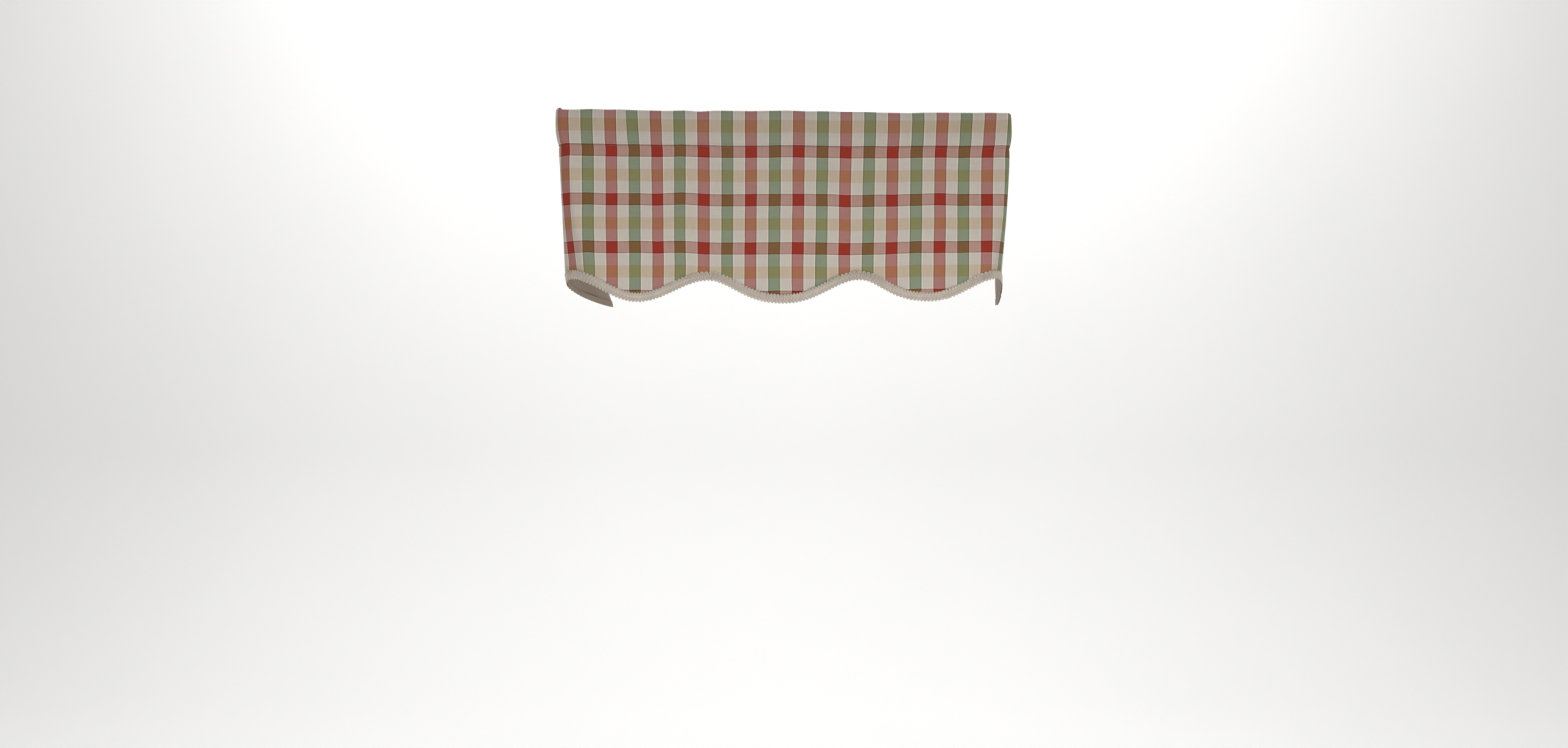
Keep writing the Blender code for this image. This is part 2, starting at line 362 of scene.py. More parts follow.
def grid_mesh(name, places, uv_name, uv):
    """Rows of places as a smooth mesh with a UV map."""
    rows, count = places.shape[:2]
    bm = bmesh.new()
    bmesh.ops.create_grid(bm, x_segments=count - 1, y_segments=rows - 1, size=0.5)
    mesh = mesh_of(name, bm)
    mesh.vertices.foreach_set("co", places.reshape(-1))
    corners = np.empty(len(mesh.loops), int)
    mesh.loops.foreach_get("vertex_index", corners)
    at_corners = uv.reshape(-1, 2)[corners]
    mesh.uv_layers.new(name=uv_name).data.foreach_set("uv", at_corners.reshape(-1))
    mesh.shade_smooth()
    return mesh


def cloth_piece(name, places, flat, tone, thickness, material):
    """A sheet of cloth through rows of places, from the top down and from left to right. Its UV map
    is the flat cloth, in metres, and its attribute `tone` is how light the cloth is: painted light
    and shade."""
    mesh = grid_mesh(name, places[::-1], "flat", flat[::-1])
    mesh.attributes.new("tone", "FLOAT", "POINT").data.foreach_set("value", tone[::-1].reshape(-1))
    mesh.materials.append(material)
    piece = placed(name, mesh)
    solidify = piece.modifiers.new("Thickness", "SOLIDIFY")
    solidify.thickness = thickness
    solidify.offset = 0
    make_plain(piece)
    piece.data.set_sharp_from_angle(angle=math.radians(65))
    return piece


def operator(operation):
    """What one of Python's operators does on a Value."""
    return lambda self, *others: self.math(operation, *others)


class Value:
    """An output of a node. Python's operators on it add Math nodes."""

    def __init__(self, nodes, socket):
        self.nodes = nodes
        self.socket = socket

    def math(self, operation, *others):
        given = dict(enumerate((self, *others)))
        return self.nodes.add("ShaderNodeMath", {"operation": operation}, given)

    def output(self, name):
        return Value(self.nodes, self.socket.node.outputs[name])

    def __rsub__(self, other):
        return self.math("MULTIPLY_ADD", -1, other)

    __add__ = __radd__ = operator("ADD")
    __sub__ = operator("SUBTRACT")
    __mul__ = __rmul__ = operator("MULTIPLY")
    __truediv__ = operator("DIVIDE")
    __mod__ = operator("FLOORED_MODULO")
    __abs__ = operator("ABSOLUTE")


class Nodes:
    """A node tree, to which nodes are added one at a time."""

    def __init__(self, tree):
        self.tree = tree

    def add(self, kind, settings=None, sockets=None, output=0):
        node = self.tree.nodes.new(kind)
        for name, setting in (settings or {}).items():
            setattr(node, name, setting)
        for name, given in (sockets or {}).items():
            if isinstance(given, Value):
                self.tree.links.new(given.socket, node.inputs[name])
            else:
                node.inputs[name].default_value = given
        return Value(self, node.outputs[output]) if node.outputs else None

    def vector(self, x, y, z=0.0):
        return self.add("ShaderNodeCombineXYZ", None, {"X": x, "Y": y, "Z": z})

    def mix(self, share, one, other):
        """Two colours mixed: all `one` where share is 0, all `other` where it is 1."""
        return self.add("ShaderNodeMix", {"data_type": "RGBA"}, {0: share, 6: one, 7: other}, 2)

    def scaled(self, given, factor):
        """A colour or a vector times a number."""
        return self.add("ShaderNodeVectorMath", {"operation": "SCALE"}, {0: given, "Scale": factor})

    def step(self, given, low, high):
        """0 below low, 1 above high, and smooth between them."""
        return self.add(
            "ShaderNodeMapRange", {"interpolation_type": "SMOOTHSTEP"},
            {"Value": given, "From Min": low, "From Max": high})

    def noise(self, place, detail=2.0):
        """Noise about 0.5, with hills of about one unit of `place`."""
        return self.add("ShaderNodeTexNoise", None, {"Vector": place, "Scale": 1.0, "Detail": detail})


class Finish(Nodes):
    """The material of a cloth, a thread or the studio's paper."""

    def __init__(self, name):
        self.material = bpy.data.materials.new(name)
        self.material.use_nodes = True
        super().__init__(self.material.node_tree)
        self.tree.nodes.clear()

    def flat_cloth(self):
        """The place on the flat cloth, in metres."""
        flat = self.add("ShaderNodeUVMap", {"uv_map": "flat"})
        parts = self.add("ShaderNodeSeparateXYZ", None, {0: flat})
        self.along, self.down = parts.output("X"), parts.output("Y")
        return self.along, self.down

    def hills(self, along, down, level=0.0, detail=2.0):
        """Noise on the flat cloth, with about so many hills to a metre along it and down it."""
        return self.noise(self.vector(self.along * along, self.down * down, level), detail)

    def place(self):
        return self.add("ShaderNodeTexCoord", None, None, "Object")

    def attribute(self, name):
        return self.add("ShaderNodeAttribute", {"attribute_name": name}, None, "Fac")

    def surface(self, colour, roughness, height, depth, sheen):
        """The shader: a matte cloth with a bump that stands `depth` metres high."""
        normal = self.add("ShaderNodeBump", None, {"Height": height, "Distance": depth})
        shader = self.add("ShaderNodeBsdfPrincipled", None, {
            "Base Color": colour,
            "Roughness": roughness,
            "Normal": normal,
            "Specular IOR Level": 0.12,
            "Sheen Weight": sheen,
        })
        self.add("ShaderNodeOutputMaterial", None, {"Surface": shader})
        return self.material


THREAD = 0.0008           # spacing of the threads in the weave
WARP_SHARE = 0.67         # how much of the warp shows where it crosses the cream weft
TAN_SHARE = 0.58          # and where it crosses the tan and the red weft, which are thicker
RED_SHARE = 0.50
WARP_CREAM = (0.565, 0.510, 0.447, 1)
WARP_RED = (0.315, 0.032, 0.030, 1)
WARP_GREEN = (0.086, 0.172, 0.070, 1)
WEFT_TAN = (0.465, 0.328, 0.158, 1)
WEFT_RED = (0.325, 0.034, 0.010, 1)
STRIPE = INCH             # width of a warp stripe
BAND = WEFT_REPEAT / 4    # width of a weft band
EDGE = 0.0004             # softness of a stripe's edge
STRIPES_STRAY, BANDS_STRAY = 0.0022, 0.0026  # how far they stray from a straight line
PALE_LINE, DARK_LINE = 0.27, 0.42  # how much lighter and darker the lines at the edges are


def plain_weave(along, down):
    """The rise and fall of threads that cross each other, from -1 to 1."""
    return (along * (math.pi / THREAD)).math("SINE") * (down * (math.pi / THREAD)).math("SINE")


def check_cloth(name):
    """Yarn-dyed plain weave: red, cream and green stripes in the warp, and red, cream and tan bands
    in the weft, which mix where they cross. A pale and a dark thread line every coloured edge."""
    finish = Finish(name)
    along, down = finish.flat_cloth()
    u = along + (finish.hills(9, 14, 3.0) - 0.5) * STRIPES_STRAY
    v = down + (finish.hills(22, 6, 8.0) - 0.5) * BANDS_STRAY

    def beyond(coordinate, middle, repeat, width):
        """How far a place lies outside the nearest of a row of stripes. It is negative inside."""
        return abs((coordinate - (middle - repeat / 2)) % repeat - repeat / 2) - width / 2

    def inside(distance):
        return 1 - finish.step(distance, -EDGE, EDGE)

    def line(distance, middle, half):
        return 1 - finish.step(abs(distance - middle), 0.0, half)

    red_stripe = beyond(u, RED_STRIPE_AT, WARP_REPEAT, STRIPE)
    any_stripe = beyond(u, RED_STRIPE_AT, WARP_REPEAT / 2, STRIPE)
    red_band = beyond(v, RED_BAND_AT, WEFT_REPEAT, BAND)
    tan_band = beyond(v, RED_BAND_AT + WEFT_REPEAT / 2, WEFT_REPEAT, BAND)

    in_red_band, in_tan_band = inside(red_band), inside(tan_band)
    stripe = finish.mix(inside(red_stripe), WARP_GREEN, WARP_RED)
    warp = finish.mix(inside(any_stripe), WARP_CREAM, stripe)
    weft = finish.mix(in_tan_band, WARP_CREAM, WEFT_TAN)
    weft = finish.mix(in_red_band, weft, WEFT_RED)

    weave = plain_weave(along, down)
    warp_streaks = finish.hills(900, 30, detail=1.0)
    weft_streaks = finish.hills(26, 850, 5.0, detail=1.0)
    share = WARP_SHARE + weave * 0.10 + (warp_streaks - 0.5) * 0.16
    share = share - in_tan_band * (WARP_SHARE - TAN_SHARE) - in_red_band * (WARP_SHARE - RED_SHARE)
    colour = finish.mix(share, weft, warp)

    pale = line(any_stripe, 0.0012, 0.0017) + line(red_band, 0.0010, 0.0014) * 0.8
    dark = line(any_stripe, -0.0010, 0.0017) + line(red_band, -0.0010, 0.0015)
    cloudy = finish.hills(24, 24, detail=3.0)
    shade = 1 + pale * PALE_LINE - dark * DARK_LINE + (cloudy - 0.5) * 0.10
    shade = shade + (warp_streaks - 0.5) * 0.16 + (weft_streaks - 0.5) * 0.14 + weave * 0.04
    shade = shade * finish.attribute("tone")
    height = weave * 0.5 + warp_streaks * 0.8 + weft_streaks * 0.8
    roughness = 0.84 + (cloudy - 0.5) * 0.12
    colour = finish.scaled(colour, shade)
    return finish.surface(colour, roughness, height, depth=0.00022, sheen=0.04)


# The pocket's cross-section, as (drop, behind): up the front from the seam, over the rod, and down
# the back to the edge that is folded under and sewn down
SEWN_FRONT, SEWN_BACK = -0.0009, 0.0032
POCKET = [
    (SEAM, SEWN_FRONT), (0.0620, -0.0048), (0.0460, -0.0065), (0.0090, -0.0058), (0.0022, -0.0032),
    (0.0006, 0.0000), (0.0022, 0.0032), (0.0090, 0.0058), (0.0460, 0.0065), (0.0620, 0.0054),
    (SEAM, SEWN_BACK), (SEAM + 0.0045, 0.0034)]
PROFILE = smooth_line(POCKET, 40)
POCKET_ROWS = [
    (0, 0.0008), (0.007, 0.0026), (0.070, 0.0008), (0.082, 0.0026), (0.150, 0.0011), (1, 0)]
POCKET_COLUMNS = [
    (-HALF_WIDTH, 0.0030), (-0.500, 0.0010), (-0.466, 0.0034), (0.466, 0.0014), (0.500, 0.0030),
    (HALF_WIDTH, 0)]
# The top edge is not quite straight: at each place across, how many millimetres it stands higher
TOP_EDGE = [
    (-0.480, 0.4), (-0.464, 1.2), (-0.425, 1.8), (-0.386, 1.4), (-0.355, 2.5), (-0.339, 1.7),
    (-0.308, 1.0), (-0.253, 0.0), (-0.214, 1.0), (-0.183, -1.3), (-0.152, 0.5), (-0.074, 0.5),
    (-0.035, 2.0), (0.005, 3.3), (0.044, 1.8), (0.067, 1.0), (0.119, 0.8), (0.223, 0.1),
    (0.294, -0.3), (0.333, 0.5), (0.406, 1.0), (0.450, 1.5)]
EAR_AT, EAR = -0.4925, 0.0050  # a fold that stands up at the left corner's top
WORN_AT, WORN = 0.4865, 0.0065  # the right corner's top is pulled down
# The rod's round top is squared at both corners: which side, how far, from where and over how much
SQUARED = [(-1, 0.90, 0.468, 0.014), (1, 0.55, 0.476, 0.012)]
# Painted shade: the heading's cloth is made a little darker than the panel's.
HEADING_SHADE = 0.93       # the heading is a little darker than the panel
# The seam's shadow on the heading: its height above the seam, how dark and how wide it is
SEAM_SHADOW = [(0.0030, 0.09, 0.0035), (0.0008, 0.12, 0.0008)]


def make_heading():
    wound = summed(np.hypot(*np.diff(PROFILE, axis=0).T))
    rows = columns(POCKET_ROWS[:-1] + [(wound[-1], 0)])
    across, gone_round = np.meshgrid(columns(POCKET_COLUMNS), rows)
    drop, behind = (np.interp(gone_round, wound, column) for column in PROFILE.T)

    facing = np.clip(behind / SEWN_FRONT, -1, 1)
    places = on_cloth(across, drop, behind, relief(across, drop) * facing)
    higher = 0.001 * np.interp(across, *zip(*TOP_EDGE))
    higher += 0.0007 * uneven(across, drop, (0.045, 0.3), 11)
    worn = ramp(across, WORN_AT, 0.0050) - 0.8 * ramp(across, 0.505, 0.030)
    squarer = sum(share * ramp(side * across, at, over) for side, share, at, over in SQUARED)
    places[..., 2] += (higher + squarer * drop) * bump(drop, 0.010) - WORN * worn * bump(drop, 0.014)
    places[..., 2] += EAR * bump(across - EAR_AT, 0.0020) * bump(drop, 0.0036)

    along = flat_across(across, drop, behind)
    lower = pulled(across, drop, LOWER_BY, LOWER_AT)
    flat = np.stack([along, SEAM - gone_round * HEADING_STRETCH - lower], -1)
    tone = HEADING_SHADE - sum(dark * bump(SEAM - drop - up, wide) for up, dark, wide in SEAM_SHADOW)
    # Painted shade: a dark line along the top edge, and shade beside the fold of the ear at the left
    # corner
    tone -= 0.20 * bump(drop, 0.0012)
    tone -= 0.35 * bump(drop, 0.0030) * bump(across - EAR_AT - 0.0030, 0.0030)
    cloth = cloth_piece("heading_cloth", places, flat, tone, CLOTH, check_cloth("heading_check"))
    return cloth, wound[-1]


heading, heading_length = make_heading()
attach(heading, "root")
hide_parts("heading")


# --------------------------------------- Panel
# The check cloth below the seam: front and returns in one piece, drawn in a little by the seam and
# hanging in shallow waves. Its hem is cut in scallops and sewn together with the lining's.

PANEL_OUT = 0.0009        # from the middle of the two layers to the panel's own middle
HEM_UP = 0.0042           # the cloth ends this far above the braid's lower edge on the front
BRAID_WIDTH = 0.0211

# The hem: the braid's lower edge, from rear edge to rear edge. For each turning point: where it is
# across, its drop, and how early the hem gets from it to the next one, as a share of the way
HEM = [
    (-HALF_WIDTH, 0.412, -0.065),
    (-0.473, 0.359, 0.00),
    (-0.320, 0.409, -0.02),
    (-0.165, 0.3635, 0.105),
    (-0.001, 0.4125, -0.06),
    (0.164, 0.3617, 0.125),
    (0.316, 0.4077, -0.045),
    (0.472, 0.357, 0.09),
    (HALF_WIDTH, 0.407, 0.00),
]
PANEL_ROWS = np.concatenate([np.linspace(0, 0.02, 8), np.linspace(0.03, 1, 90)])
# Painted shade: the cloth behind the braid is darkened, so that shade shows between its loops.
BRAID_SHADOW = 0.45        # how light the cloth is behind the braid's loops
SEWN_PUCKER, SEWN_REACH = 0.0005, 0.010  # the puckers above the braid


def hem_drop(across):
    """The scalloped hem: smooth waves between the turning points of HEM."""
    starts, drops, leans = np.array(HEM).T
    i = np.clip(np.searchsorted(starts, across, side="right") - 1, 0, len(HEM) - 2)
    share = (across - starts[i]) / (starts[i + 1] - starts[i])
    share = share + leans[i] * np.sin(math.pi * share)
    return drops[i] + (drops[i + 1] - drops[i]) * (1 - np.cos(math.pi * share)) / 2


def braid_top(across):
    """The braid's upper edge, a braid's width above the hem measured square to it."""
    slope = (hem_drop(across + 0.002) - hem_drop(across - 0.002)) / 0.004
    return hem_drop(across) - BRAID_WIDTH * np.hypot(1, slope)


def cloth_end(across):
    """Where the panel ends below. On the returns it reaches further down behind the braid."""
    return hem_drop(across) - HEM_UP * (1 - 0.85 * ramp(np.abs(across), 0.500, 0.020))


def panel_columns(bend, front):
    """Places along the panel or its lining, spaced `bend` apart where the ends bend."""
    return columns([
        (-HALF_WIDTH, 0.0030), (-0.508, bend), (-0.430, front), (0.430, bend), (0.508, 0.0030),
        (HALF_WIDTH, 0)])


def from_edge(across, drop):
    """The distance to the nearest rear edge or the hem."""
    return np.minimum(HALF_WIDTH - np.abs(across), cloth_end(across) - drop)


def sewn(across, drop):
    """The relief with the small puckers that the braid's sewing pulls into the cloth above it."""
    above = np.clip(hem_drop(across) - BRAID_WIDTH - drop, 0, None)
    pucker = SEWN_PUCKER * uneven(across, drop * 0, (0.012, 1), 12)
    return relief(across, drop) + pucker * np.exp(-above / SEWN_REACH)


def make_panel():
    across, share = np.meshgrid(panel_columns(0.0018, 0.0034), PANEL_ROWS)
    drop = SEAM + share * (cloth_end(across) - SEAM)
    out = PANEL_OUT * (0.55 + 0.45 * ramp(from_edge(across, drop), 0, 0.006)) + sewn(across, drop)
    lower = pulled(across, drop, LOWER_BY, LOWER_AT)
    flat = np.stack([flat_across(across, drop), drop - lower], -1)
    places = on_cloth(across, drop, 0, out)
    # Painted light: the panel grows lighter lower down, with a painted highlight in a pale line just
    # below the seam
    tone = 1 + 0.05 * ramp(drop, 0.12, 0.20) + 0.07 * bump(drop - SEAM - 0.0018, 0.0014)
    # Painted shade behind the braid
    tone *= 1 - (1 - BRAID_SHADOW) * ramp(drop - braid_top(across), 0.003, 0.003)
    cloth = cloth_piece("panel_cloth", places, flat, tone, CLOTH, check_cloth("panel_check"))
    return cloth, 2 * HALF_WIDTH * np.mean(cloth_end(across[0]) - SEAM)


panel, panel_area = make_panel()
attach(panel, "root")
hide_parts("panel")


# -------------------------------------- Lining
# Plain ecru cotton behind the panel, caught by the pocket's seam at the top and sewn to the panel
# along the rear edges and the hem. Along the hem its edge is folded up inside and stitched down.

LINING = 0.0007           # thickness of the lining
LINING_IN = 0.0004        # from the middle of the two layers to the lining where they are sewn
LOOSE_IN = 0.0009         # and how much further away it hangs elsewhere
FOLD = 0.0135             # height of the fold along the hem
FOLD_IN = 0.0010          # from the lining to its fold
GAP_AT, GAP_OVER, GAP = -0.580, 0.020, 0.0026  # where the fold's stitching has come undone
# Painted shade: these colours are darker than the ecru's own, for the shade inside the returns.
ECRU = (0.272, 0.220, 0.176, 1), (0.340, 0.278, 0.224, 1)  # darkest and lightest
LINING_ROWS = np.concatenate([np.linspace(0, 0.9, 54), np.linspace(0.91, 1, 12)])
FOLD_ROWS = np.linspace(0, 1, 10)


def lining_out(across, drop):
    """How far outwards the lining lies, before its fold."""
    loose = ramp(np.minimum(from_edge(across, drop), drop - SEAM), 0, 0.012)
    own = np.abs(uneven(across, drop, (0.05, 0.12), 21)) * ramp(from_edge(across, drop), 0.010, 0.03)
    return sewn(across, drop) - LINING_IN - LOOSE_IN * loose - 0.0006 * own * loose


def ecru_cotton(name):
    """Plain unbleached cotton: a loose weave with slubs, a little darker along some threads."""
    finish = Finish(name)
    weave = plain_weave(*finish.flat_cloth())
    warp_streaks = finish.hills(800, 24, detail=1.0)
    weft_streaks = finish.hills(20, 760, 4.0, detail=1.0)
    slubs = finish.step(finish.hills(40, 420, 9.0, detail=0.0), 0.66, 0.80)
    cloudy = finish.hills(18, 18, 2.0, detail=3.0)
    colour = finish.mix(cloudy, *ECRU)
    shade = 1 + (warp_streaks - 0.5) * 0.22 + (weft_streaks - 0.5) * 0.22
    shade = (shade + slubs * 0.06 + weave * 0.05) * finish.attribute("tone")
    height = weave * 0.5 + warp_streaks + weft_streaks + slubs * 0.8
    roughness = 0.88 + (cloudy - 0.5) * 0.10
    colour = finish.scaled(colour, shade)
    return finish.surface(colour, roughness, height, depth=0.00020, sheen=0.03)


def make_lining():
    top = SEAM - 0.0015
    across, share = np.meshgrid(panel_columns(0.0024, 0.0044), LINING_ROWS)
    drop = top + share * (cloth_end(across) + 0.0006 - top)
    out = lining_out(across, drop)
    fold_across, up = np.meshgrid(across[0], FOLD_ROWS)
    fold_drop = drop[-1] - up * FOLD
    gap = GAP * bump(fold_across - GAP_AT, GAP_OVER) ** 2 * up ** 2
    stitched = FOLD_IN * (1 - 0.3 * up ** 6)
    fold_out = lining_out(fold_across, fold_drop) - stitched - gap
    across, drop = np.vstack([across, fold_across]), np.vstack([drop, fold_drop])
    places = on_cloth(across, drop, 0, np.vstack([out, fold_out]))
    flat = np.stack([across, np.vstack([drop[:len(out)], drop[len(out) - 1] + up * FOLD])], -1)
    # Painted shade: the lining grows darker towards the free edge of its fold.
    edge = np.vstack([share * 0, bump(up - 1, 0.12)])
    cotton = ecru_cotton("lining_ecru")
    return cloth_piece("lining_cloth", places, flat, 1 - 0.25 * edge, LINING, cotton)


lining = make_lining()
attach(lining, "root")
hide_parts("lining")


# ------------------------------------ Stitches
# Lockstitch in a pale thread: through the heading along the pocket's seam, up the side hems, and
# along the lining's fold. Each stitch is a short round length of thread that sinks in at its ends.

STITCH = {"Pitch": 0.0030, "Stitch length": 0.0026, "Thread thickness": 0.00036}
PALE_THREAD = (0.44, 0.33, 0.25, 1), (0.58, 0.46, 0.36, 1)
PROUD = 0.0001            # the thread's middle stands this far out of the cloth
SIDE_SEWN_AT = HALF_WIDTH - SIDE_HEM + 0.0015
FOLD_SEWN_UP = FOLD - 0.0022


class Shaping(Nodes):
    """A tree of Geometry Nodes with a source, named sizes and a material as its inputs."""

    def __init__(self, name, sizes):
        super().__init__(bpy.data.node_groups.new(name, "GeometryNodeTree"))
        kinds = {"Source": "Geometry", **dict.fromkeys(sizes, "Float"), "Material": "Material"}
        new_socket = self.tree.interface.new_socket
        new_socket("Geometry", in_out="OUTPUT", socket_type="NodeSocketGeometry")
        for socket, kind in kinds.items():
            new_socket(socket, in_out="INPUT", socket_type="NodeSocket" + kind)
        self.source = self.add("NodeGroupInput", None, None, "Source")

    def size(self, name):
        return self.source.output(name)

    def end(self, *parts):
        """Ends the tree with its parts as one real geometry, smooth and in the given material."""
        joined = self.add("GeometryNodeJoinGeometry")
        for part in parts:
            self.tree.links.new(part.socket, joined.socket.node.inputs[0])
        real = self.add("GeometryNodeRealizeInstances", None, {"Geometry": joined})
        smooth = self.add("GeometryNodeSetShadeSmooth", None, {"Geometry": real})
        finished = self.add(
            "GeometryNodeSetMaterial", None, {"Geometry": smooth, "Material": self.size("Material")})
        self.add("NodeGroupOutput", None, {"Geometry": finished})


def shaped(name, source_mesh, shaping, sizes, material):
    """A piece with the plain mesh that a tree makes of a source mesh."""
    piece = placed(name, source_mesh)
    modifier = piece.modifiers.new("Shaping", "NODES")
    modifier.node_group = shaping.tree
    given = {"Material": material, **sizes}
    for item in shaping.tree.interface.items_tree:
        if item.in_out == "INPUT" and item.name in given:
            modifier[item.identifier] = given[item.name]
    make_plain(piece)
    return piece


def running_stitches():
    """One stitch at each step along the source's lines, laid along them."""
    shaping = Shaping("running_stitches", STITCH)
    lines = shaping.add("GeometryNodeMeshToCurve", None, {"Mesh": shaping.source})
    steps = shaping.add(
        "GeometryNodeResampleCurve", {"mode": "LENGTH"},
        {"Curve": lines, "Length": shaping.size("Pitch")})
    direction = shaping.add(
        "FunctionNodeAlignRotationToVector", {"axis": "X"},
        {"Vector": shaping.add("GeometryNodeInputTangent")})
    thickness = shaping.size("Thread thickness")
    uneven_length = shaping.add(
        "FunctionNodeRandomValue", None, {"Min": 0.9, "Max": 1.06, "Seed": 7}, 1)
    size = shaping.vector(shaping.size("Stitch length") * uneven_length, thickness, thickness)
    stitch = shaping.add("GeometryNodeMeshUVSphere", None, {"Segments": 6, "Rings": 4, "Radius": 0.5})
    laid = shaping.add(
        "GeometryNodeInstanceOnPoints", None,
        {"Points": steps, "Instance": stitch, "Rotation": direction, "Scale": size})
    shaping.end(laid)
    return shaping


def spun_cotton(name):
    """Cotton thread: fine twisted plies with a soft shine."""
    finish = Finish(name)
    plies = finish.noise(finish.scaled(finish.place(), 2600.0), detail=1.0)
    colour = finish.mix(plies, *PALE_THREAD)
    return finish.surface(colour, 0.62 + plies * 0.1, plies, depth=0.00008, sheen=0.10)


def lines_mesh(name, lines):
    """Separate lines through rows of places, as a mesh of edges."""
    ends = np.cumsum([len(line) for line in lines])
    edges = [(i, i + 1) for i in range(ends[-1] - 1) if i + 1 not in ends]
    mesh = bpy.data.meshes.new(name)
    mesh.from_pydata(np.vstack(lines).tolist(), edges, [])
    return mesh


def make_stitches():
    stitches = running_stitches()
    across = np.linspace(-HALF_WIDTH + 0.002, HALF_WIDTH - 0.002, 600)
    pocket_front = PROFILE[:len(PROFILE) // 2][::-1].T

    def line(across, drop, behind=0.0, out=0.0, face=1):
        """A line of thread on a layer of the check cloth: on its outer face, or with -1 its inner."""
        across, drop = np.broadcast_arrays(across, drop)
        return on_cloth(across, drop, behind, face * (out + CLOTH / 2 + PROUD + relief(across, drop)))

    seam = SEAM + 0.0002
    pocket = [line(across, seam, SEWN_FRONT), line(across, seam, SEWN_BACK, face=-1)]
    sides = []
    for side in (-SIDE_SEWN_AT, SIDE_SEWN_AT):
        drop = np.linspace(SEAM + 0.004, hem_drop(np.array(side)) - BRAID_WIDTH - 0.001, 120)
        sides.append(line(side, drop, out=PANEL_OUT))
        drop = np.linspace(0.004, SEAM - 0.004, 40)
        sides.append(line(side, drop, np.interp(drop, *pocket_front)))
    drop = cloth_end(across) - FOLD_SEWN_UP
    fold = on_cloth(across, drop, 0, lining_out(across, drop) - FOLD_IN - LINING / 2)
    linings = [fold[across < GAP_AT - GAP_OVER], fold[across > GAP_AT + GAP_OVER]]
    pale = spun_cotton("pale_thread")
    made = []
    rows = {"pocket_stitches": pocket, "side_stitches": sides, "lining_stitches": linings}
    for name, lines in rows.items():
        piece = shaped(name, lines_mesh(name, lines), stitches, STITCH, pale)
        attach(piece, "root")
        made.append(piece)
    return made


pocket_stitches, side_stitches, lining_stitches = make_stitches()


# ---------------------------------- Gimp braid
# Looped gimp, sewn on along the hem: two wrapped cords lie side by side and go up and down the
# braid's width, turning in a round loop at each edge. Two fine threads hold them together.

GIMP = {
    "Width": BRAID_WIDTH,
    "Loop": 0.0078,           # from one upper loop to the next
    "Points per loop": 16.0,  # on each cord
    "Roundness": 1.3,         # how far the loops open at their turns
    "Cord radius": 0.00102,
    "Cord apart": 0.00100,    # each cord's distance from the middle of the pair
    "Binder radius": 0.00026,
    "Binder at": 0.0034,      # the binder threads' distance from the braid's middle line
}
RING = 0.00075            # spacing of the yarn that is wrapped round a cord
# Painted shade and light on the yarn: darker colours in the hollows, paler ones on the crests.
HOLLOW_SHADE = (0.17, 0.135, 0.10, 1), (0.31, 0.26, 0.205, 1)  # the yarn in the hollows
CREST_LIGHT = (0.575, 0.482, 0.392, 1), (0.90, 0.82, 0.72, 1)  # and on the crests
BRAID_OUT = 0.0015        # from the middle of the two layers to the braid's under side
JOIN_AT = 0.350           # `across` where the second length starts, on top of the first one
JOIN_LAP = 0.011
JOIN_RISE = 0.0014
RIBBON_STEP = 0.0030
RIBBON_ROWS = np.linspace(0, 1, 9)
VECTORS = {"data_type": "FLOAT_VECTOR"}


def ribbon(name, start, end, raised):
    """The surface that one length of braid lies on. Its UV map `strip` runs from 0 to 1 along it and
    from the hem up. Returned with its length."""
    across = np.arange(start, end, 0.0005)
    drop = hem_drop(across)
    gone_along = summed(np.hypot(np.diff(across), np.diff(drop)))
    length = gone_along[-1]
    along = np.linspace(0, length, round(length / RIBBON_STEP) + 1)
    across, drop = np.interp(along, gone_along, across), np.interp(along, gone_along, drop)
    slope = np.gradient(drop, across)
    up = np.stack([slope, -np.ones_like(slope)]) / np.hypot(1, slope)
    width = BRAID_WIDTH * RIBBON_ROWS[:, None]
    across, drop = across + up[0] * width, drop + up[1] * width
    out = BRAID_OUT + sewn(across, drop) + raised(across)
    places = on_cloth(np.clip(across, -HALF_WIDTH, HALF_WIDTH), drop, 0, out)
    strip = np.stack(np.meshgrid(np.linspace(0, 1, len(along)), RIBBON_ROWS), -1)
    return grid_mesh(name, places, "strip", strip), length


